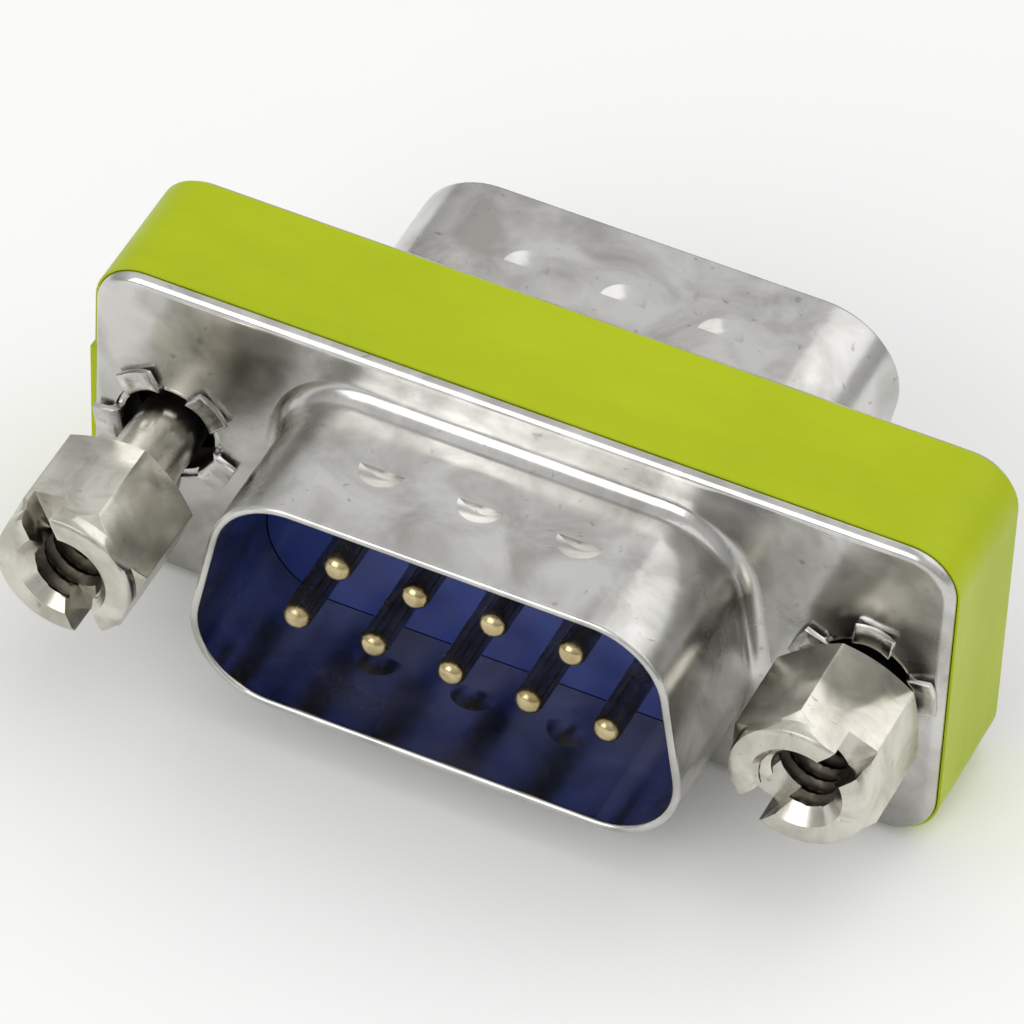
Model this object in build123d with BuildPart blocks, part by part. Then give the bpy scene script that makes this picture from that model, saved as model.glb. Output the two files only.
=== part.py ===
"""Nine-way plug-to-plug D-sub adapter with captive jackscrews, in millimetres.

The origin is the middle of the front flange's outer face. X runs along the flange, Y runs through the adapter
from front to rear, and Z is up.
"""
import os
from math import asin, degrees, radians, tan

from build123d import *

os.makedirs("parts", exist_ok=True)

# Shells: two drawn steel cups, each with a D-shaped shroud
mouth_width = 16.92
mouth_height = 8.5
mouth_slope = 10
mouth_corner = 2.6
side_ledge = 2.05
end_ledge = 0.57
flange_corner = 1.7
skirt_bend = 0.06
sheet = 0.3
body_depth = 5.44
seam = 0.06
shroud_depth = 5.85
root_bend = 0.65
rim_flat = 0.02

# Grounding dents on the flat sides of each shroud, each half a bowl that is steep towards the flange
dent_width = 1.6
dent_depth = 0.16
dent_pitch = 3.5
dent_reach = 2.65

# Insulators and contacts
fit = 0.03
boss_rise = 0.74
pin_diameter = 1.0
pin_pitch = 2.77
row_gap = 2.84
pin_reach = 4.75
pin_bend = 0.8
pin_nose = 0.4

# Eyelets that clamp the two shells together
screw_offset = 4.035
eyelet_wall = 0.25
barrel_diameter = 4.4
bore_start = 1.2
bore_step = 0.27
eyelet_lip = 0.45
eyelet_head = 0.3
petal_count = 5
petal_width = 1.5
petal_length = 0.67
petal_lift = 0.05
left_petal_turn = 46.6
right_petal_turn = 11

# Jackscrews and the rings that hold them in
hex_flats = 4.76
head_length = 4.45
nose_diameter = 4.95
nose_length = 0.7
ring_face_diameter = 4.4
slot_width = 1.1
slot_depth = 1.2
tap_diameter = 2.5
tap_end_wall = 0.65
countersink = 0.4
shank_diameter = 2.4
groove_diameter = 2.0
clip_clearance = 0.08
clip_thickness = 0.4
clip_gap = 1.3
thread_diameter = 2.84
thread_start = 6.7
screw_length = 10.0
screw_travel = 3.2
left_drawn = 2.9
right_drawn = 0.6
left_hex_turn = 10
right_hex_turn = 37
left_slot_turn = 115
right_slot_turn = 47

# Label wrapped round the body, with its outer end lapped on the left side
label_sheet = 0.08
label_glue = 0.02
label_width = 4.72
lap_top = 2.2
lap_foot = 3.6
lap_lift = 0.18
lap_taper = 1.0

flange_bend = skirt_bend + sheet
rim_round = (sheet - rim_flat) / 2
screw_spacing = mouth_width + 2 * screw_offset
flange_width = screw_spacing + barrel_diameter + 2 * end_ledge
flange_height = mouth_height + 2 * side_ledge
bore_diameter = barrel_diameter - 2 * eyelet_wall
throat_diameter = bore_diameter - 2 * bore_step
clip_diameter = bore_diameter - 2 * clip_clearance
eyelet_head_diameter = barrel_diameter + 2 * eyelet_lip
petal_reach = throat_diameter / 2 + eyelet_wall + petal_length
middle = body_depth / 2
screw_place = screw_spacing / 2
seat_depth = eyelet_wall + petal_lift
tap_depth = head_length - tap_end_wall
turn_over_axis = Axis((0, middle, 0), (1, 0, 0))


def mouth_outline(growth):
    """Draw the D of the mouth with its wide side down, grown on all sides."""
    corner_gain = 2 * mouth_corner * (tan(radians(45 + mouth_slope / 2)) - 1)
    with BuildSketch() as outline:
        Trapezoid(mouth_width + corner_gain, mouth_height, 90 - mouth_slope)
        fillet(outline.vertices(), mouth_corner)
        offset(amount=growth)
    return outline.sketch


def save(piece, node):
    """Name a finished piece and write it as a STEP file."""
    piece.part.label = node
    export_step(piece.part, f"parts/{node}.step")


# Shell stamping, before its eyelet holes are pierced
with BuildPart() as stamping:
    with BuildSketch(Plane.XZ):
        RectangleRounded(flange_width, flange_height, flange_corner)
    extrude(amount=-(middle - seam / 2))
    fillet(stamping.edges().group_by(Axis.Y)[0], flange_bend)
    with BuildSketch(Plane.XZ):
        add(mouth_outline(sheet))
    extrude(amount=shroud_depth)
    flange_face = stamping.faces().filter_by(Axis.Y).sort_by(Axis.Y)[1]
    fillet(flange_face.inner_wires()[0].edges(), root_bend)
    with BuildSketch(Plane.XZ.offset(-sheet)):
        RectangleRounded(flange_width - 2 * sheet, flange_height - 2 * sheet, flange_corner - sheet)
    extrude(amount=-body_depth, mode=Mode.SUBTRACT)
    with BuildSketch(Plane.XZ.offset(shroud_depth)):
        add(mouth_outline(0.0001))
    extrude(amount=-(shroud_depth + body_depth), mode=Mode.SUBTRACT)
    inner_face = stamping.faces().filter_by(Axis.Y).sort_by(Axis.Y)[2]
    fillet(inner_face.outer_wire().edges(), skirt_bend)
    inner_face = stamping.faces().filter_by(Axis.Y).sort_by(Axis.Y)[2]
    fillet(inner_face.inner_wires()[0].edges(), root_bend + sheet)
    rim_face = stamping.faces().filter_by(Axis.Y).sort_by(Axis.Y)[0]
    fillet(rim_face.edges(), rim_round)
    dent_ball = (dent_width**2 / 4 + dent_depth**2) / (2 * dent_depth)
    dent_rise = dent_ball - dent_depth
    cap_angle = degrees(asin((dent_rise + sheet / 2) / (dent_ball + sheet)))
    for side in (1, -1):
        level = side * (mouth_height / 2 + sheet + dent_rise)
        half_turn = (90 - 90 * side, 0, 90 + 90 * side)
        with Locations(*[(place * dent_pitch, sheet - dent_reach, level) for place in (-1, 0, 1)]):
            Sphere(dent_ball + sheet, -90, -cap_angle, 180, rotation=half_turn, align=None)
        with Locations(*[(place * dent_pitch, -dent_reach, level) for place in (-1, 0, 1)]):
            Sphere(dent_ball, arc_size3=180, rotation=half_turn, align=None, mode=Mode.SUBTRACT)

with BuildPart() as front_shell:
    add(stamping.part)
    with BuildSketch(Plane.XZ):
        with Locations((-screw_place, 0), (screw_place, 0)):
            Circle(throat_diameter / 2 + eyelet_wall + fit)
    extrude(amount=-body_depth, mode=Mode.SUBTRACT)
save(front_shell, "front_shell")

with BuildPart() as rear_shell:
    add(stamping.part.rotate(turn_over_axis, 180))
    with BuildSketch(Plane.XZ.offset(-body_depth)):
        with Locations((-screw_place, 0), (screw_place, 0)):
            Circle(barrel_diameter / 2 + fit)
    extrude(amount=middle, mode=Mode.SUBTRACT)
save(rear_shell, "rear_shell")

# Insulator moulding: a plate inside the skirt, a boss in the mouth, and a slot for each contact's step
long_row = [((3 - number) * pin_pitch, -row_gap / 2) for number in range(1, 6)]
short_row = [((7.5 - number) * pin_pitch, row_gap / 2) for number in range(6, 10)]
step_start = middle - row_gap / 2 - pin_bend / 2

with BuildPart() as front_insulator:
    with BuildSketch(Plane.XZ.offset(-sheet)):
        plate_inset = 2 * (sheet + fit)
        plate_corner = flange_corner - sheet - fit
        RectangleRounded(flange_width - plate_inset, flange_height - plate_inset, plate_corner)
    extrude(amount=-(middle - sheet))
    chamfer(front_insulator.edges().group_by(Axis.Y)[0], skirt_bend)
    with BuildSketch(Plane.XZ.offset(-sheet)):
        add(mouth_outline(-fit))
    extrude(amount=sheet + boss_rise)
    with BuildSketch(Plane.XZ.offset(boss_rise)):
        with Locations(*long_row, *short_row):
            Circle(pin_diameter / 2 + fit)
    extrude(amount=-body_depth, mode=Mode.SUBTRACT)
    with BuildSketch(Plane.XZ.offset(-middle)):
        with Locations(*[(place[0], 0) for place in long_row + short_row]):
            SlotCenterToCenter(row_gap, pin_diameter + 2 * fit, rotation=90)
    extrude(amount=middle - step_start + fit, mode=Mode.SUBTRACT)
    with BuildSketch(Plane.XZ):
        with Locations((-screw_place, 0), (screw_place, 0)):
            Circle(barrel_diameter / 2 + fit)
        with Locations((-flange_width / 2, 0), (flange_width / 2, 0)):
            Rectangle(flange_width - screw_spacing, barrel_diameter + 2 * fit)
    extrude(amount=-body_depth, mode=Mode.SUBTRACT)
save(front_insulator, "front_insulator")

with BuildPart() as rear_insulator:
    add(front_insulator.part.rotate(turn_over_axis, 180))
save(rear_insulator, "rear_insulator")

# Contacts: a pin at each end and a step between the rows in the middle
with BuildPart() as stepped_pin:
    with BuildLine(Plane.YZ) as route:
        FilletPolyline(
            (-pin_reach, -row_gap / 2),
            (middle - row_gap / 2, -row_gap / 2),
            (middle + row_gap / 2, row_gap / 2),
            (body_depth + pin_reach, row_gap / 2),
            radius=pin_bend,
        )
    with BuildSketch(Plane(origin=route.line @ 0, z_dir=route.line % 0)):
        Circle(pin_diameter / 2)
    sweep()
    tips = stepped_pin.faces().filter_by(GeomType.PLANE).sort_by(Axis.Y)
    fillet(tips[0].edges() + tips[-1].edges(), pin_nose)

for number, (across, level) in enumerate(long_row + short_row, start=1):
    with BuildPart() as contact:
        with Locations((across, 0, 0)):
            add(stepped_pin.part, rotation=(0, 0 if level < 0 else 180, 0))
    save(contact, f"contact_{number}")

# Eyelets: a slit tube flared into petals over the front flange, and a plain head over the rear one
throat = throat_diameter / 2
tube = throat + eyelet_wall
with BuildPart() as petal:
    with BuildSketch(Plane.XY) as bent_strip:
        with BuildLine():
            Polyline(
                (throat, 0),
                (throat, -seat_depth),
                (petal_reach, -seat_depth),
                (petal_reach, -petal_lift),
                (tube, -petal_lift),
                (tube, 0),
                close=True,
            )
        make_face()
        fillet(bent_strip.vertices().group_by(Axis.Y)[0].sort_by(Axis.X)[0], eyelet_wall)
    extrude(amount=petal_width / 2, both=True)
    petal_tip = petal.faces().sort_by(Axis.X)[-1]
    fillet(petal_tip.edges().filter_by(Axis.Y), petal_width / 4)

for name, side, turn in (("left", -1, left_petal_turn), ("right", 1, right_petal_turn)):
    with BuildPart() as eyelet:
        with BuildSketch(Plane(origin=(side * screw_place, 0, 0))):
            with BuildLine():
                Polyline(
                    (throat, -petal_lift),
                    (tube, -petal_lift),
                    (tube, sheet + fit),
                    (barrel_diameter / 2, sheet + fit),
                    (barrel_diameter / 2, body_depth + fit),
                    (eyelet_head_diameter / 2, body_depth + fit),
                    (eyelet_head_diameter / 2, body_depth + eyelet_head),
                    (bore_diameter / 2, body_depth + eyelet_head),
                    (bore_diameter / 2, bore_start),
                    (throat, bore_start),
                    close=True,
                )
            make_face()
        revolve(axis=Axis((side * screw_place, 0, 0), (0, 1, 0)))
        head_face = eyelet.faces().filter_by(Axis.Y).sort_by(Axis.Y)[-1]
        fillet(head_face.outer_wire().edges(), eyelet_head / 2)
        with Locations((side * screw_place, 0, 0)):
            for leaf in range(petal_count):
                add(petal.part, rotation=(0, -turn - leaf * 360 / petal_count, 0))
    save(eyelet, f"{name}_eyelet")

# Jackscrews, each drawn out of its eyelet by its own amount, and their retaining rings
groove_start = seat_depth + bore_start + screw_travel - fit
for name, side, drawn, hex_turn, slot_turn in (
    ("left", -1, left_drawn, left_hex_turn, left_slot_turn),
    ("right", 1, right_drawn, right_hex_turn, right_slot_turn),
):
    seat = Plane(origin=(side * screw_place, -seat_depth - drawn, 0))
    across_seat = Plane(origin=seat.origin, x_dir=(1, 0, 0), z_dir=(0, -1, 0))
    screw_axis = Axis(seat.origin, (0, 1, 0))
    with BuildPart() as jackscrew:
        with BuildSketch(across_seat):
            RegularPolygon(hex_flats / 2, 6, major_radius=False, rotation=hex_turn)
        extrude(amount=head_length)
        with BuildSketch(seat):
            with BuildLine():
                corner = hex_flats * 0.6
                Polyline(
                    (0, 0),
                    (nose_diameter / 2 - countersink, 0),
                    (corner, -countersink),
                    (corner, -head_length + nose_length + countersink / 2),
                    (nose_diameter / 2, -head_length + nose_length),
                    (nose_diameter / 2, -head_length + countersink),
                    (ring_face_diameter / 2, -head_length),
                    (0, -head_length),
                    close=True,
                )
            make_face()
        revolve(axis=screw_axis, mode=Mode.INTERSECT)
        with BuildSketch(seat):
            with BuildLine():
                core = shank_diameter - thread_diameter / 2
                Polyline(
                    (0, -tap_end_wall / 2),
                    (shank_diameter / 2, -tap_end_wall / 2),
                    (shank_diameter / 2, groove_start),
                    (groove_diameter / 2, groove_start),
                    (groove_diameter / 2, groove_start + clip_thickness + 2 * fit),
                    (shank_diameter / 2, groove_start + clip_thickness + 2 * fit),
                    (shank_diameter / 2, thread_start),
                    (thread_diameter / 2, thread_start + (thread_diameter - shank_diameter) / 2),
                    (thread_diameter / 2, screw_length - thread_diameter / 2 + core),
                    (core, screw_length),
                    (0, screw_length),
                    close=True,
                )
            make_face()
        revolve(axis=screw_axis)
        with BuildSketch(across_seat.offset(head_length)):
            Circle(tap_diameter / 2)
        extrude(amount=-tap_depth, mode=Mode.SUBTRACT)
        mouth_edge = jackscrew.edges().filter_by(GeomType.CIRCLE).group_by(Axis.Y)[0].sort_by(SortBy.RADIUS)[0]
        chamfer(mouth_edge, countersink)
        with BuildSketch(across_seat.offset(head_length)):
            Rectangle(2 * hex_flats, slot_width, rotation=slot_turn)
        extrude(amount=-slot_depth, mode=Mode.SUBTRACT)
    save(jackscrew, f"{name}_jackscrew")
    with BuildPart() as clip:
        with BuildSketch(across_seat.offset(-groove_start - fit)):
            Circle(clip_diameter / 2)
            Circle(groove_diameter / 2 + fit, mode=Mode.SUBTRACT)
            with Locations((0, clip_diameter / 2)):
                Rectangle(clip_gap, clip_diameter, mode=Mode.SUBTRACT)
        extrude(amount=-clip_thickness)
    save(clip, f"{name}_retaining_ring")

# Label: one turn of tape between the two flange bends, and the lapped end on the left side
with BuildPart() as label_band:
    band = label_sheet + label_glue
    with BuildSketch(Plane.XZ.offset(label_width / 2 - middle)):
        RectangleRounded(flange_width + 2 * band, flange_height + 2 * band, flange_corner + band)
        RectangleRounded(
            flange_width + 2 * label_glue,
            flange_height + 2 * label_glue,
            flange_corner + label_glue,
            mode=Mode.SUBTRACT,
        )
        with BuildLine():
            Polyline(
                (-flange_width / 2 - band / 2, lap_top),
                (-flange_width / 2 - band - lap_lift, lap_top),
                (-flange_width / 2 - band - label_sheet, -lap_foot + lap_taper),
                (-flange_width / 2 - band / 2, -lap_foot),
                close=True,
            )
        make_face()
    extrude(amount=-label_width)
save(label_band, "label_band")
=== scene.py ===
"""Dress a nine-way plug-to-plug D-sub adapter: real threads, flared eyelets, plated metal, vinyl label."""
from __future__ import annotations

import logging
from collections.abc import Iterable, Mapping, Sequence
from dataclasses import dataclass
from enum import Enum
from math import atan2, cos, hypot, pi, radians, sin, sqrt, tau

import bmesh
import bpy
from mathutils import Matrix, Vector

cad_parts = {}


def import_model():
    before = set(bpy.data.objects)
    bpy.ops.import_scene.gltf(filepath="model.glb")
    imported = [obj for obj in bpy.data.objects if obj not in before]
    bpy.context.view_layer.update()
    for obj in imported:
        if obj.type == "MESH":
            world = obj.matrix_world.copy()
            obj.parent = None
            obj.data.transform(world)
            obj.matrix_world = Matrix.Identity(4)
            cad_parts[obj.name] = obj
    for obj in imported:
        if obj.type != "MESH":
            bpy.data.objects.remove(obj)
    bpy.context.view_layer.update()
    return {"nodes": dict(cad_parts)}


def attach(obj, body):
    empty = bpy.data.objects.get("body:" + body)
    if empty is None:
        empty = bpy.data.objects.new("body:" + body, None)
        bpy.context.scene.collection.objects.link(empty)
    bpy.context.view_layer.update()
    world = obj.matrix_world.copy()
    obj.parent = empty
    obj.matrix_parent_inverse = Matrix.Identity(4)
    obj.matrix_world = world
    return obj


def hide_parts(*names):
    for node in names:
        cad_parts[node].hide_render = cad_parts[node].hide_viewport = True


LOG = logging.getLogger("adapter")
MM = 0.001
SCREW_PLACE = 12.495 * MM
BODY_DEPTH = 5.44 * MM
UNDERSIDE = -6.4 * MM
SEAT = -0.3 * MM
ROUND_STEPS = 96
ROWS_A_TURN = 20
BORE_MARGIN = 0.02 * MM
MERGE = 1e-7
SLIVER = 0.0005 * MM


class Cut(Enum):
    """How one solid is combined with another."""

    KEEP_COMMON = "INTERSECT"
    TAKE_AWAY = "DIFFERENCE"
    JOIN = "UNION"


def linear(code: str) -> tuple[float, float, float, float]:
    """Turn an sRGB hex colour into linear light.

    Args:
        code: Colour written as #RRGGBB.

    Returns:
        Linear red, green, blue and full alpha.
    """
    channels = [int(code[place:place + 2], 16) / 255 for place in (1, 3, 5)]
    # The sRGB curve is straight near black and a power above.
    light = [c / 12.92 if c <= 0.04045 else ((c + 0.055) / 1.055) ** 2.4 for c in channels]
    return light[0], light[1], light[2], 1.0


def add_node(
    tree: bpy.types.NodeTree,
    kind: str,
    links: Mapping[str | int, bpy.types.NodeSocket] | None = None,
    values: Mapping[str | int, object] | None = None,
    **settings: object,
) -> bpy.types.Node:
    """Add one node with its settings, socket values and links.

    Args:
        tree: Node tree that takes the node.
        kind: Node type name.
        links: Input socket to the output socket that feeds it.
        values: Input socket to its own value.
        settings: Node properties.

    Returns:
        The new node.
    """
    node = tree.nodes.new(kind)
    for name, value in settings.items():
        setattr(node, name, value)
    for socket, value in (values or {}).items():
        node.inputs[socket].default_value = value
    for socket, source in (links or {}).items():
        tree.links.new(source, node.inputs[socket])
    return node


def set_ramp(node: bpy.types.Node, stops: Sequence[tuple[float, str]]) -> None:
    """Give a colour ramp its stops.

    Args:
        node: Colour ramp node.
        stops: Place and hex colour of each stop, in order.
    """
    ramp = node.color_ramp
    while len(ramp.elements) < len(stops):
        ramp.elements.new(0.5)
    for element, (place, code) in zip(ramp.elements, stops):
        element.position = place
        element.color = linear(code)


def begin_material(
    name: str,
) -> tuple[bpy.types.Material, bpy.types.NodeTree, bpy.types.Node, bpy.types.NodeSocket]:
    """Start a material whose patterns stay with the piece.

    Args:
        name: Name of the material.

    Returns:
        The material, its node tree, its surface shader and the piece's own coordinates.
    """
    material = bpy.data.materials.new(name)
    material.use_nodes = True
    tree = material.node_tree
    place = add_node(tree, "ShaderNodeTexCoord").outputs["Object"]
    return material, tree, tree.nodes["Principled BSDF"], place


@dataclass(frozen=True)
class PlatedMetal:
    """Plated metal: uneven brightness, soft ripples left by forming, and small dark handling marks."""

    name: str
    dark: str
    light: str
    patch: float = 2.6 * MM
    ripple: float = 1.9 * MM
    ripple_depth: float = 0.018 * MM
    grain: float = 0.14 * MM  # coarser than the real grain of the plating, so that it shows
    speck: float = 0.45 * MM
    soil: str = "#7A7870"
    smooth: float = 0.13
    rough: float = 0.3

    def build(self) -> bpy.types.Material:
        """Make the material.

        Returns:
            The plated metal.
        """
        material, tree, shader, place = begin_material(self.name)
        shader.inputs["Metallic"].default_value = 1.0
        patches = add_node(
            tree, "ShaderNodeTexNoise", {"Vector": place},
            {"Scale": 1 / self.patch, "Detail": 4.0, "Roughness": 0.55, "Distortion": 0.6})
        tint = add_node(tree, "ShaderNodeValToRGB", {"Fac": patches.outputs["Fac"]})
        set_ramp(tint, ((0.34, self.dark), (0.62, self.light)))
        specks = add_node(
            tree, "ShaderNodeTexNoise", {"Vector": place},
            {"Scale": 1 / self.speck, "Detail": 3.0, "Distortion": 0.5})
        marks = add_node(
            tree, "ShaderNodeMapRange", {"Value": specks.outputs["Fac"]},
            {"From Min": 0.66, "From Max": 0.74, "To Min": 0.0, "To Max": 0.5})
        worn = add_node(
            tree, "ShaderNodeMixRGB", {"Fac": marks.outputs["Result"], "Color1": tint.outputs["Color"]},
            {"Color2": linear(self.soil)})
        tree.links.new(worn.outputs["Color"], shader.inputs["Base Color"])
        grain = add_node(
            tree, "ShaderNodeTexNoise", {"Vector": place},
            {"Scale": 1 / self.grain, "Detail": 3.0, "Roughness": 0.6})
        haze = add_node(
            tree, "ShaderNodeTexNoise", {"Vector": place},
            {"Scale": 0.6 / self.patch, "Detail": 5.0, "Roughness": 0.6, "Distortion": 0.4})
        gloss = add_node(
            tree, "ShaderNodeMapRange", {"Value": haze.outputs["Fac"]},
            {"From Min": 0.35, "From Max": 0.65, "To Min": self.smooth, "To Max": self.rough})
        tree.links.new(gloss.outputs["Result"], shader.inputs["Roughness"])
        ripples = add_node(
            tree, "ShaderNodeTexNoise", {"Vector": place},
            {"Scale": 1 / self.ripple, "Detail": 2.0, "Roughness": 0.45, "Distortion": 0.3})
        bump = add_node(
            tree, "ShaderNodeBump", {"Height": ripples.outputs["Fac"]},
            {"Strength": 1.0, "Distance": self.ripple_depth})
        fine = add_node(
            tree, "ShaderNodeBump", {"Height": grain.outputs["Fac"], "Normal": bump.outputs["Normal"]},
            {"Strength": 0.2, "Distance": self.ripple_depth / 30})
        tree.links.new(fine.outputs["Normal"], shader.inputs["Normal"])
        return material


@dataclass(frozen=True)
class MouldedPlastic:
    """Glass-filled polyester as moulded: satin skin with a faint cloudy flow pattern."""

    name: str
    dark: str
    light: str
    cloud: float = 3.0 * MM
    grain: float = 0.12 * MM  # coarser than the real skin of the moulding, so that it shows
    skin_depth: float = 0.004 * MM
    rough: float = 0.36
    ior: float = 1.55
    shine: float = 0.3

    def build(self) -> bpy.types.Material:
        """Make the material.

        Returns:
            The moulded plastic.
        """
        material, tree, shader, place = begin_material(self.name)
        shader.inputs["Roughness"].default_value = self.rough
        shader.inputs["IOR"].default_value = self.ior
        shader.inputs["Specular IOR Level"].default_value = self.shine
        clouds = add_node(
            tree, "ShaderNodeTexNoise", {"Vector": place}, {"Scale": 1 / self.cloud, "Detail": 3.0})
        tint = add_node(tree, "ShaderNodeValToRGB", {"Fac": clouds.outputs["Fac"]})
        set_ramp(tint, ((0.3, self.dark), (0.7, self.light)))
        tree.links.new(tint.outputs["Color"], shader.inputs["Base Color"])
        skin = add_node(
            tree, "ShaderNodeTexNoise", {"Vector": place}, {"Scale": 1 / self.grain, "Detail": 2.0})
        bump = add_node(
            tree, "ShaderNodeBump", {"Height": skin.outputs["Fac"]},
            {"Strength": 0.5, "Distance": self.skin_depth})
        tree.links.new(bump.outputs["Normal"], shader.inputs["Normal"])
        return material


@dataclass(frozen=True)
class VinylTape:
    """Printed vinyl tape: even colour, satin face, faint pulls along the wrap."""

    name: str
    dark: str
    light: str
    cloud: float = 4.0 * MM
    grain: float = 0.2 * MM
    grain_depth: float = 0.004 * MM
    smooth: float = 0.34
    rough: float = 0.46
    ior: float = 1.53
    shine: float = 0.2

    def build(self) -> bpy.types.Material:
        """Make the material.

        Returns:
            The vinyl.
        """
        material, tree, shader, place = begin_material(self.name)
        shader.inputs["IOR"].default_value = self.ior
        shader.inputs["Specular IOR Level"].default_value = self.shine
        pulled = add_node(tree, "ShaderNodeMapping", {"Vector": place}, {"Scale": (0.4, 1.0, 0.4)})
        clouds = add_node(
            tree, "ShaderNodeTexNoise", {"Vector": pulled.outputs["Vector"]},
            {"Scale": 1 / self.cloud, "Detail": 4.0, "Roughness": 0.6})
        tint = add_node(tree, "ShaderNodeValToRGB", {"Fac": clouds.outputs["Fac"]})
        set_ramp(tint, ((0.3, self.dark), (0.65, self.light)))
        tree.links.new(tint.outputs["Color"], shader.inputs["Base Color"])
        gloss = add_node(
            tree, "ShaderNodeMapRange", {"Value": clouds.outputs["Fac"]},
            {"From Min": 0.3, "From Max": 0.7, "To Min": self.rough, "To Max": self.smooth})
        tree.links.new(gloss.outputs["Result"], shader.inputs["Roughness"])
        grain = add_node(
            tree, "ShaderNodeTexNoise", {"Vector": pulled.outputs["Vector"]},
            {"Scale": 1 / self.grain, "Detail": 2.0})
        bump = add_node(
            tree, "ShaderNodeBump", {"Height": grain.outputs["Fac"]},
            {"Strength": 0.4, "Distance": self.grain_depth})
        tree.links.new(bump.outputs["Normal"], shader.inputs["Normal"])
        return material


def make_object(bm: bmesh.types.BMesh, name: str) -> bpy.types.Object:
    """Turn a bmesh into a linked object at the origin.

    Args:
        bm: Finished bmesh, freed here.
        name: Name of the object and its mesh.

    Returns:
        The new object.
    """
    mesh = bpy.data.meshes.new(name)
    bm.to_mesh(mesh)
    bm.free()
    piece = bpy.data.objects.new(name, mesh)
    bpy.context.scene.collection.objects.link(piece)
    return piece


def bake_modifiers(piece: bpy.types.Object) -> None:
    """Write a piece's modifiers into its mesh.

    Args:
        piece: Object with modifiers.
    """
    graph = bpy.context.evaluated_depsgraph_get()
    old = piece.data
    piece.data = bpy.data.meshes.new_from_object(piece.evaluated_get(graph))
    piece.modifiers.clear()
    piece.data.name = piece.name
    bpy.data.meshes.remove(old)


def combine(piece: bpy.types.Object, other: bpy.types.Object, cut: Cut) -> None:
    """Combine a piece with another solid, which is used up.

    Args:
        piece: Object that is changed.
        other: Object that acts on it.
        cut: Kind of combination.
    """
    step = piece.modifiers.new("combine", "BOOLEAN")
    step.operation = cut.value
    step.solver = "EXACT"
    step.object = other
    bake_modifiers(piece)
    shape = other.data
    bpy.data.objects.remove(other)
    bpy.data.meshes.remove(shape)


def soften(piece: bpy.types.Object, width: float, angle: float, segments: int = 2) -> None:
    """Break the sharp edges of a piece.

    Args:
        piece: Object whose edges are rounded.
        width: Size of the rounding.
        angle: Smallest edge angle that is rounded, in degrees.
        segments: Faces across each rounding.
    """
    step = piece.modifiers.new("edges", "BEVEL")
    step.width = width
    step.segments = segments
    step.profile = 0.5
    step.limit_method = "ANGLE"
    step.angle_limit = radians(angle)
    step.use_clamp_overlap = True
    bake_modifiers(piece)


def weld(piece: bpy.types.Object) -> None:
    """Merge the slivers that cutting leaves behind, and close the pinholes.

    Args:
        piece: Object that has been cut.
    """
    bm = bmesh.new()
    bm.from_mesh(piece.data)
    bmesh.ops.remove_doubles(bm, verts=bm.verts, dist=SLIVER)
    bmesh.ops.dissolve_degenerate(bm, edges=bm.edges, dist=SLIVER)
    bmesh.ops.holes_fill(bm, edges=[edge for edge in bm.edges if edge.is_boundary])
    bmesh.ops.recalc_face_normals(bm, faces=bm.faces)
    bm.to_mesh(piece.data)
    bm.free()


def shade(piece: bpy.types.Object, material: bpy.types.Material, angle: float = 32) -> None:
    """Shade a piece smoothly except at its sharp edges, and give it its main finish.

    Args:
        piece: Object to finish.
        material: Finish of the whole piece, but for bores given painted shade later.
        angle: Edges sharper than this stay sharp, in degrees.
    """
    piece.data.shade_smooth()
    piece.data.set_sharp_from_angle(angle=radians(angle))
    piece.data.materials.clear()
    piece.data.materials.append(material)


def paint_bore_shade(
    piece: bpy.types.Object,
    material: bpy.types.Material,
    across: float,
    reach: float,
    start: float,
    end: float,
) -> None:
    """Give the inside of a bore along Y painted shade: a dark finish of its own.

    Args:
        piece: Object with the bore.
        material: Painted shade of the bore.
        across: Place of the bore's axis along X.
        reach: Faces that lie wholly closer to the axis than this belong to the bore.
        start: Y where the bore starts.
        end: Y where it ends.
    """
    piece.data.materials.append(material)
    for face in piece.data.polygons:
        corners = [piece.data.vertices[corner].co for corner in face.vertices]
        widest = max(hypot(corner.x - across, corner.z) for corner in corners)
        if widest < reach and start < face.center.y < end:
            face.material_index = 1


def turned(
    profile: Sequence[tuple[float, float]], across: float, steps: int = ROUND_STEPS
) -> bmesh.types.BMesh:
    """Turn a closed outline about an axis that runs along Y.

    Args:
        profile: Radius and Y of each corner, in order round the outline.
        across: Place of the axis along X.
        steps: Faces round the axis.

    Returns:
        The turned solid.
    """
    bm = bmesh.new()
    corners = [bm.verts.new((across + radius, along, 0)) for radius, along in profile]
    edges = [bm.edges.new((corners[i - 1], corners[i])) for i in range(len(corners))]
    bmesh.ops.spin(
        bm, geom=corners + edges, cent=(across, 0, 0), axis=(0, 1, 0), angle=tau, steps=steps, use_merge=True)
    bmesh.ops.remove_doubles(bm, verts=bm.verts, dist=MERGE)
    bmesh.ops.dissolve_degenerate(bm, edges=bm.edges, dist=MERGE)
    bmesh.ops.delete(bm, geom=[edge for edge in bm.edges if edge.is_wire], context="EDGES")
    bmesh.ops.recalc_face_normals(bm, faces=bm.faces)
    return bm


def thread_rows(start: float, end: float, pitch: float) -> list[float]:
    """Give the places along Y of the rows that a thread is raised on.

    Args:
        start: First row.
        end: Last row.
        pitch: Distance from turn to turn.

    Returns:
        Evenly spaced places.
    """
    count = round(ROWS_A_TURN * (end - start) / pitch)
    return [start + (end - start) * row / count for row in range(count + 1)]


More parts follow.
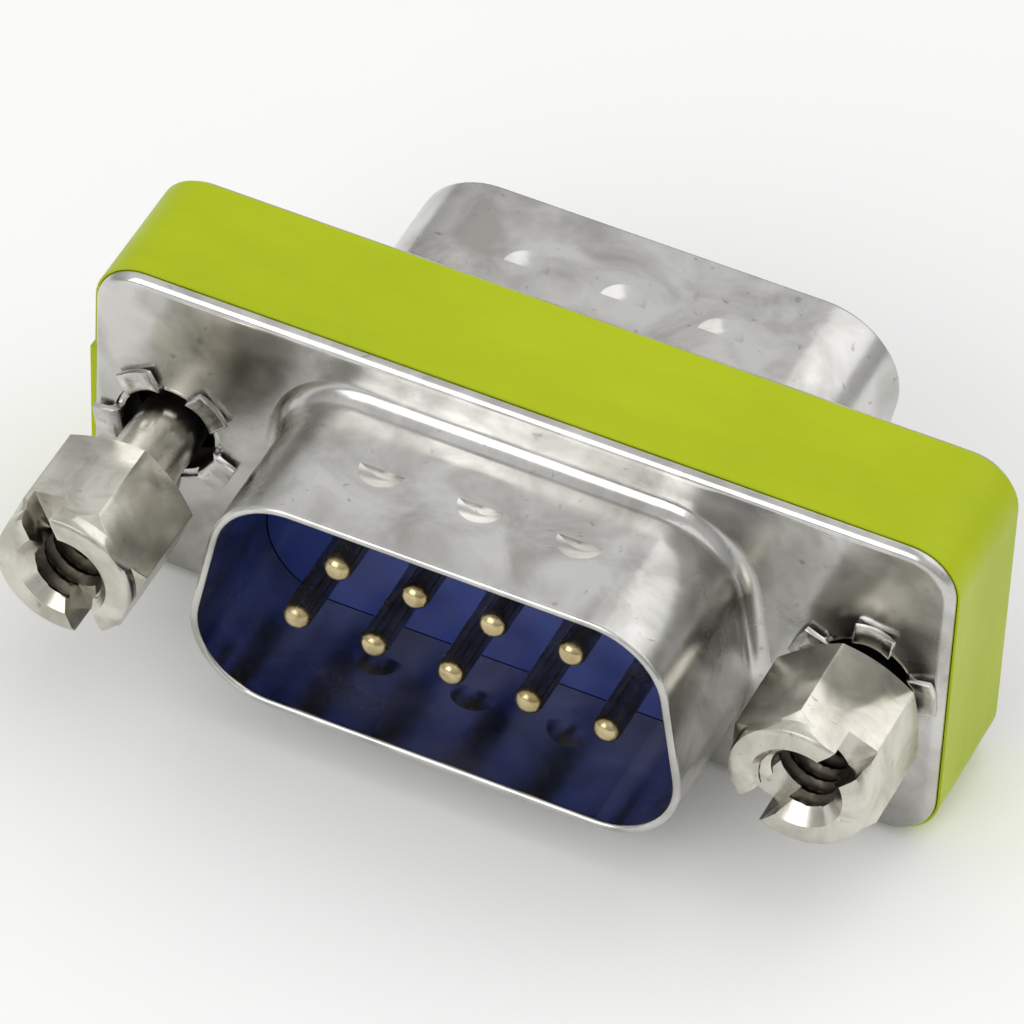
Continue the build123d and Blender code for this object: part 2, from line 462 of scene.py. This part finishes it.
def raise_thread(
    bm: bmesh.types.BMesh, across: float, start: float, end: float, root: float, crest: float, pitch: float
) -> None:
    """Raise a right-hand thread on the rows of a turned bar, running out at both ends.

    Args:
        bm: Bar turned about an axis along Y.
        across: Place of the axis along X.
        start: Y where the thread starts.
        end: Y where it ends.
        root: Radius at the bottom of the thread.
        crest: Radius at the top of the thread.
        pitch: Distance from turn to turn.
    """
    # Shares of the pitch: middle of the crest, half the thread's foot, and one flank.
    middle, half_foot, flank = 0.525, 0.425, 0.35
    for vert in bm.verts:
        side, along, up = vert.co.x - across, vert.co.y, vert.co.z
        radius = hypot(side, up)
        inside = min(along - start, end - along)
        if inside > 0 and radius > root / 2:
            turn = (along / pitch + atan2(up, side) / tau) % 1
            rise = min(1, max(0, (half_foot - abs(turn - middle)) / flank)) * min(1, 2 * inside / pitch)
            stretch = max(1, (root + (crest - root) * rise) / radius)
            vert.co = (across + side * stretch, along, up * stretch)


@dataclass
class Jackscrew:
    """Captive hexagonal jackscrew: slotted head with a tapped bore, thin shank and threaded tail."""

    name: str
    across: float
    drawn: float  # how far the head stands off the petals at rest
    hex_turn: float  # direction of a corner from +X towards +Z, in degrees
    slot_turn: float  # direction of the slot from +X towards +Z, in degrees
    body: str
    flats: float = 4.76 * MM
    head: float = 4.45 * MM
    nose: float = 2.475 * MM
    nose_length: float = 0.7 * MM
    nose_edge: tuple[tuple[float, float], ...] = (
        (0, 0.36 * MM), (0.03 * MM, 0.2 * MM), (0.1 * MM, 0.08 * MM))
    face: float = 2.2 * MM
    chamfer: float = 0.42 * MM
    lip: float = 0.2 * MM
    broken_edge: float = 0.05 * MM
    slot_width: float = 1.1 * MM
    slot_depth: float = 1.2 * MM
    tap_root: float = 1.08 * MM
    tap_crest: float = 1.4 * MM
    tap_depth: float = 3.8 * MM
    drill_point: float = 0.3 * MM
    # how far in from each end of the bore the plated finish stays before the painted shade starts
    unshaded_mouth: float = 0.55 * MM
    unshaded_end: float = 0.5 * MM
    countersink: float = 1.62 * MM
    shank: float = 1.2 * MM
    shank_root: float = 0.4 * MM
    groove: float = 1.0 * MM
    groove_start: float = 4.67 * MM
    groove_end: float = 5.13 * MM
    thread_start: float = 6.7 * MM
    thread_crest: float = 1.42 * MM
    thread_root: float = 1.1 * MM
    thread_lead: float = 0.1 * MM
    thread_end: float = 0.25 * MM
    tip_taper: float = 0.2 * MM
    length: float = 10.0 * MM
    pitch: float = 0.635 * MM

    @property
    def seat(self) -> float:
        """Y of the head's rear face."""
        return SEAT - self.drawn

    @property
    def front(self) -> float:
        """Y of the head's front face."""
        return self.seat - self.head

    def hexagon(self) -> bpy.types.Object:
        """Extrude the hexagonal bar that the head is cut from."""
        bm = bmesh.new()
        lay = Matrix.Translation((self.across, self.seat, 0)) @ Matrix.Rotation(pi / 2, 4, "X")
        # A circle of six is made with a corner at 30 degrees.
        turn = Matrix.Rotation(radians(self.hex_turn - 30), 4, "Z")
        ring = bmesh.ops.create_circle(
            bm, cap_ends=True, segments=6, radius=self.flats / sqrt(3), matrix=lay @ turn)["verts"]
        grown = bmesh.ops.extrude_face_region(bm, geom=list(ring[0].link_faces))["geom"]
        moved = [item for item in grown if isinstance(item, bmesh.types.BMVert)]
        bmesh.ops.translate(bm, verts=moved, vec=(0, -self.head, 0))
        bmesh.ops.recalc_face_normals(bm, faces=bm.faces)
        return make_object(bm, self.name)

    def turning(self) -> bpy.types.Object:
        """Turn the envelope that takes the corners off both ends of the bar."""
        wide = self.flats * 0.6  # just clear of the hexagon's corners
        shoulder = self.front + self.nose_length
        profile = (
            (0, self.seat), (self.nose - self.chamfer, self.seat), (wide, self.seat - self.chamfer),
            (wide, shoulder + self.lip), (self.nose, shoulder - self.lip),
            *((self.nose - inset, self.front + depth) for inset, depth in self.nose_edge),
            (self.face, self.front), (0, self.front))
        return make_object(turned(profile, self.across), "turning")

    def slot(self) -> bpy.types.Object:
        """Make the screwdriver slot's cutter."""
        bm = bmesh.new()
        shape = Matrix.Diagonal((3 * self.flats, 2 * self.slot_depth, self.slot_width, 1))
        place = Matrix.Translation((self.across, self.front, 0))
        turn = Matrix.Rotation(-radians(self.slot_turn), 4, "Y")
        bmesh.ops.create_cube(bm, size=1, matrix=place @ turn @ shape)
        return make_object(bm, "slot")

    def tap(self) -> bpy.types.Object:
        """Make the tap: the threaded bore with its countersunk mouth and drilled end."""
        mouth, end = self.front - MM, self.front + self.tap_depth
        last = end - self.drill_point
        rows = [
            (max(self.tap_root, self.countersink + self.front - row), row)
            for row in thread_rows(self.front, last, self.pitch)]
        point = 0.6 * self.tap_root
        profile = ((0, mouth), (self.countersink + MM, mouth), *rows, (point, end), (0, end))
        bm = turned(profile, self.across)
        raise_thread(bm, self.across, mouth, last, self.tap_root, self.tap_crest, self.pitch)
        return make_object(bm, "tap")

    def tail(self) -> bpy.types.Object:
        """Turn the shank with its ring groove, and cut the thread on its end."""
        foot, end = self.seat - self.shank_root, self.seat + self.length
        ring, ring_end = self.seat + self.groove_start, self.seat + self.groove_end
        start, last = self.seat + self.thread_start, end - self.thread_end
        first = start + self.thread_lead
        rows = [(self.thread_root, row) for row in thread_rows(first, last, self.pitch)]
        profile = (
            (0, foot), (self.shank, foot), (self.shank, ring), (self.groove, ring), (self.groove, ring_end),
            (self.shank, ring_end), (self.shank, start), *rows, (self.thread_root - self.tip_taper, end),
            (0, end))
        bm = turned(profile, self.across)
        raise_thread(bm, self.across, first, last, self.thread_root, self.thread_crest, self.pitch)
        return make_object(bm, "tail")

    def build(self, material: bpy.types.Material, inside: bpy.types.Material) -> bpy.types.Object:
        """Build the whole jackscrew in place of its plain solid.

        Args:
            material: Plated metal of the screw.
            inside: Painted shade of the tapped bore.

        Returns:
            The finished jackscrew.
        """
        screw = self.hexagon()
        combine(screw, self.turning(), Cut.KEEP_COMMON)
        combine(screw, self.slot(), Cut.TAKE_AWAY)
        soften(screw, self.broken_edge, 24)
        combine(screw, self.tap(), Cut.TAKE_AWAY)
        combine(screw, self.tail(), Cut.JOIN)
        weld(screw)
        shade(screw, material)
        # the inside of the tapped bore gets painted shade
        paint_bore_shade(
            screw, inside, self.across, self.tap_crest + BORE_MARGIN,
            self.front + self.unshaded_mouth, self.seat - self.unshaded_end)
        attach(screw, self.body)
        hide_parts(f"{self.name.split('_')[0]}_jackscrew")
        LOG.info("%s: %d faces", screw.name, len(screw.data.polygons))
        return screw


@dataclass
class Eyelet:
    """Hollow eyelet: a barrel with a plain rear head, its slit front flared into petals over the flange."""

    name: str
    across: float
    turn: float  # direction of the first petal from +X towards +Z, in degrees
    throat: float = 1.68 * MM
    tube: float = 1.93 * MM
    barrel: float = 2.2 * MM
    bore: float = 1.95 * MM
    bore_start: float = 1.185 * MM
    head: float = 2.65 * MM
    head_depth: float = 0.3 * MM
    head_gap: float = 0.03 * MM
    sheet: float = 0.33 * MM
    slit_start: float = 0.1 * MM
    bend: float = 0.1 * MM
    bend_turn: float = 88.0
    bend_steps: int = 7
    petals: int = 5
    petal_half: float = 23.0  # half a petal's width, in degrees round the tube
    reach: float = 2.6 * MM
    tip_curve: float = 0.16  # how strongly a petal's tip is rounded
    level: float = 0.01 * MM  # gap between the petals and a seated head
    rounding: float = 0.12 * MM
    corner: float = 0.035 * MM
    bore_chamfer: float = 0.05 * MM
    broken_edge: float = 0.03 * MM
    steps: int = 120

    def flare(self, bm: bmesh.types.BMesh, angle: float) -> None:
        """Bend one petal out of the tube's end and draw it out over the flange.

        Args:
            bm: Eyelet mesh with its plain tube end.
            angle: Petal's direction from +X towards +Z, in degrees.
        """
        out = Vector((cos(radians(angle)), 0, sin(radians(angle))))
        tangent = Vector((-out.z, 0, out.x))
        centre = Vector((self.across, self.slit_start, 0))
        leaf = []
        for face in bm.faces:
            spot = face.calc_center_median() - centre
            turn = abs((atan2(spot.z, spot.x) - radians(angle) + pi) % tau - pi)
            if abs(spot.y) < MERGE and turn < radians(self.petal_half) and spot.length < self.barrel:
                leaf.append(face)
        pivot = centre + out * (self.tube + self.bend)
        bent = bmesh.ops.spin(
            bm, geom=leaf, cent=pivot, axis=tangent, angle=radians(self.bend_turn), steps=self.bend_steps,
        )["geom_last"]
        tip = [item for item in bent if isinstance(item, bmesh.types.BMFace)]
        grown = bmesh.ops.extrude_face_region(bm, geom=tip)["geom"]
        ends = [item for item in grown if isinstance(item, bmesh.types.BMVert)]
        bmesh.ops.delete(bm, geom=leaf + tip, context="FACES")
        for vert in ends:
            spot = vert.co - centre
            side = spot.dot(tangent) / self.tube
            vert.co += out * (self.reach * (1 - self.tip_curve * side * side) - spot.dot(out))

    def build(self, material: bpy.types.Material, inside: bpy.types.Material) -> bpy.types.Object:
        """Build the eyelet in place of its plain solid.

        Args:
            material: Bright plated steel.
            inside: Painted shade of the bore.

        Returns:
            The finished eyelet.
        """
        rear = BODY_DEPTH + self.head_gap
        back = BODY_DEPTH + self.head_depth
        profile = (
            (self.throat, self.slit_start), (self.tube, self.slit_start), (self.tube, self.sheet),
            (self.barrel, self.sheet), (self.barrel, rear), (self.head, rear),
            (self.head, back - self.rounding), (self.head - self.corner, back - self.corner),
            (self.head - self.rounding, back), (self.bore + self.bore_chamfer, back),
            (self.bore, back - self.bore_chamfer), (self.bore, self.bore_start),
            (self.throat, self.bore_start))
        bm = turned(profile, self.across, self.steps)
        for leaf in range(self.petals):
            self.flare(bm, self.turn + leaf * 360 / self.petals)
        for vert in bm.verts:  # the seating press leaves the petals level under the screw's head
            vert.co.y = max(vert.co.y, SEAT + self.level)
        bmesh.ops.remove_doubles(bm, verts=bm.verts, dist=MERGE)
        bmesh.ops.recalc_face_normals(bm, faces=bm.faces)
        eyelet = make_object(bm, self.name)
        soften(eyelet, self.broken_edge, 40)
        shade(eyelet, material)
        # the inside of the barrel gets painted shade
        paint_bore_shade(eyelet, inside, self.across, self.bore + BORE_MARGIN, self.sheet, BODY_DEPTH)
        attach(eyelet, "housing")
        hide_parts(f"{self.name.split('_')[0]}_eyelet")
        LOG.info("%s: %d faces", eyelet.name, len(eyelet.data.polygons))
        return eyelet


@dataclass(frozen=True)
class Softbox:
    """Square lamp with an even white face."""

    name: str
    place: tuple[float, float, float]
    size: float
    power: float

    def hang(self) -> None:
        """Hang the lamp so that it points at the part."""
        data = bpy.data.lights.new(self.name, "AREA")
        data.size = self.size
        data.energy = self.power
        lamp = bpy.data.objects.new(self.name, data)
        lamp.location = self.place
        lamp.rotation_euler = (-lamp.location).to_track_quat("-Z", "Y").to_euler()
        bpy.context.scene.collection.objects.link(lamp)


@dataclass
class Studio:
    """Pale floor, soft lamps and the camera."""

    key: Softbox = Softbox("key", (0.2, 0.16, 0.34), 0.56, 0.62)
    front: Softbox = Softbox("front", (-0.12, -0.33, 0.2), 0.28, 0.55)
    sky: tuple[tuple[float, str], ...] = ((0.45, "#9E9E9E"), (0.62, "#BEBEBE"), (0.85, "#E8E8E8"))
    paper: str = "#F7F7F6"
    floor_reach: float = 1.5
    floor_gap: float = 0.01 * MM
    lens: float = 327.63
    camera_place: tuple[float, float, float] = (0.08400, -0.19750, 0.21326)
    camera_turn: tuple[float, float, float] = (45.4012, -2.2307, 25.2545)

    def floor(self) -> None:
        """Lay a pale floor under the part."""
        bm = bmesh.new()
        under = Matrix.Translation((0, 0, UNDERSIDE - self.floor_gap))
        bmesh.ops.create_grid(bm, x_segments=1, y_segments=1, size=self.floor_reach, matrix=under)
        floor = make_object(bm, "floor")
        material = bpy.data.materials.new("pale_paper")
        material.use_nodes = True
        shader = material.node_tree.nodes["Principled BSDF"]
        shader.inputs["Base Color"].default_value = linear(self.paper)
        shader.inputs["Roughness"].default_value = 0.9
        shader.inputs["Specular IOR Level"].default_value = 0.1
        floor.data.materials.append(material)

    def world(self) -> None:
        """Surround the part with soft light, pale overhead and greyer towards the horizon."""
        world = bpy.data.worlds.new("soft_room")
        bpy.context.scene.world = world
        world.use_nodes = True
        tree = world.node_tree
        look = add_node(tree, "ShaderNodeTexCoord").outputs["Generated"]
        height = add_node(tree, "ShaderNodeSeparateXYZ", {"Vector": look})
        walls = add_node(
            tree, "ShaderNodeMapRange", {"Value": height.outputs["Z"]},
            {"From Min": -1.0, "From Max": 1.0, "To Min": 0.0, "To Max": 1.0})
        shades = add_node(tree, "ShaderNodeValToRGB", {"Fac": walls.outputs["Result"]})
        set_ramp(shades, self.sky)
        tree.links.new(shades.outputs["Color"], tree.nodes["Background"].inputs["Color"])

    def camera(self) -> None:
        """Place the camera at the photograph's angle."""
        data = bpy.data.cameras.new("camera")
        data.lens = self.lens
        data.sensor_width = 36
        data.clip_start = 0.01
        camera = bpy.data.objects.new("camera", data)
        camera.location = self.camera_place
        camera.rotation_euler = [radians(angle) for angle in self.camera_turn]
        bpy.context.scene.collection.objects.link(camera)
        bpy.context.scene.camera = camera

    def build(self) -> None:
        """Set up everything round the part."""
        bpy.context.scene.view_settings.view_transform = "Standard"
        self.floor()
        self.world()
        self.key.hang()
        self.front.hang()
        self.camera()


def paint_node(node: bpy.types.Object, material: bpy.types.Material) -> None:
    """Put a finish on a solid's own material slots.

    Args:
        node: Object of the frame.
        material: Its finish.
    """
    if not node.material_slots:
        node.data.materials.append(None)
    for slot in node.material_slots:
        slot.link = "OBJECT"
        slot.material = material


def paint_frame(
    nodes: Mapping[str, bpy.types.Object], painted: Iterable[tuple[str, bpy.types.Material]]
) -> None:
    """Finish every solid whose name holds one of the given words.

    Args:
        nodes: Solids by name.
        painted: Word in a name, and the finish of those solids.
    """
    for word, material in painted:
        for name, node in nodes.items():
            if word in name:
                paint_node(node, material)
                LOG.info("%s: %s", name, material.name)


def main() -> None:
    """Dress the adapter and set up its picture."""
    logging.basicConfig(level=logging.INFO, format="%(name)s %(message)s")
    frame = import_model()
    # Bright tin on drawn sheet: soft, slightly wavy mirror with cloudy grey patches.
    tin = PlatedMetal("tinned_drawn_steel", "#ABAAA5", "#D2D1CE").build()
    # Bright zinc on a thin pressed tube: the same mirror broken into smaller, rougher patches.
    bright = PlatedMetal("bright_plated_steel", "#B0AFA9", "#DCDBD7", patch=0.9 * MM, ripple=0.8 * MM).build()
    # Nickel over turned bar: warm grey satin that blurs what it mirrors.
    nickel = PlatedMetal(
        "nickel_plated_steel", "#B2AFA3", "#D8D5CB", patch=1.6 * MM, ripple=0.9 * MM, ripple_depth=0.007 * MM,
        smooth=0.16, rough=0.28).build()
    # Hardened spring wire: dark blue-grey gloss.
    spring = PlatedMetal("spring_steel", "#5E5E60", "#8A8A8C").build()
    # Painted shade for the bores: dark brown-grey, so that holes read deep.
    bore_shade = PlatedMetal(
        "oiled_bare_steel", "#3A362F", "#5A554B", patch=0.9 * MM, ripple=0.8 * MM, ripple_depth=0.007 * MM,
        smooth=0.3, rough=0.45).build()
    # Thin gold on turned pins: pale champagne points of light.
    gold = PlatedMetal(
        "gold_flashed_brass", "#A8966B", "#CFC097", patch=0.8 * MM, ripple=0.5 * MM, ripple_depth=0.004 * MM,
        smooth=0.16, rough=0.3).build()
    # Moulded polyester: deep blue with a low satin shine.
    blue = MouldedPlastic("blue_polyester", "#10266F", "#173388").build()
    # Wrapped vinyl: strong, even yellow-green with a dull shine.
    vinyl = VinylTape("yellow_green_vinyl", "#A3B303", "#AFBE06").build()
    finishes = (
        ("shell", tin), ("insulator", blue), ("contact", gold), ("retaining_ring", spring), ("label", vinyl))
    paint_frame(frame["nodes"], finishes)
    Jackscrew("left_slotted_jackscrew", -SCREW_PLACE, 2.9 * MM, 10, 115, "left_screw").build(nickel, bore_shade)
    Jackscrew("right_slotted_jackscrew", SCREW_PLACE, 0.6 * MM, 37, 47, "right_screw").build(nickel, bore_shade)
    Eyelet("left_flared_eyelet", -SCREW_PLACE, 46.6).build(bright, bore_shade)
    Eyelet("right_flared_eyelet", SCREW_PLACE, 11).build(bright, bore_shade)
    Studio().build()


if __name__ == "__main__":
    main()
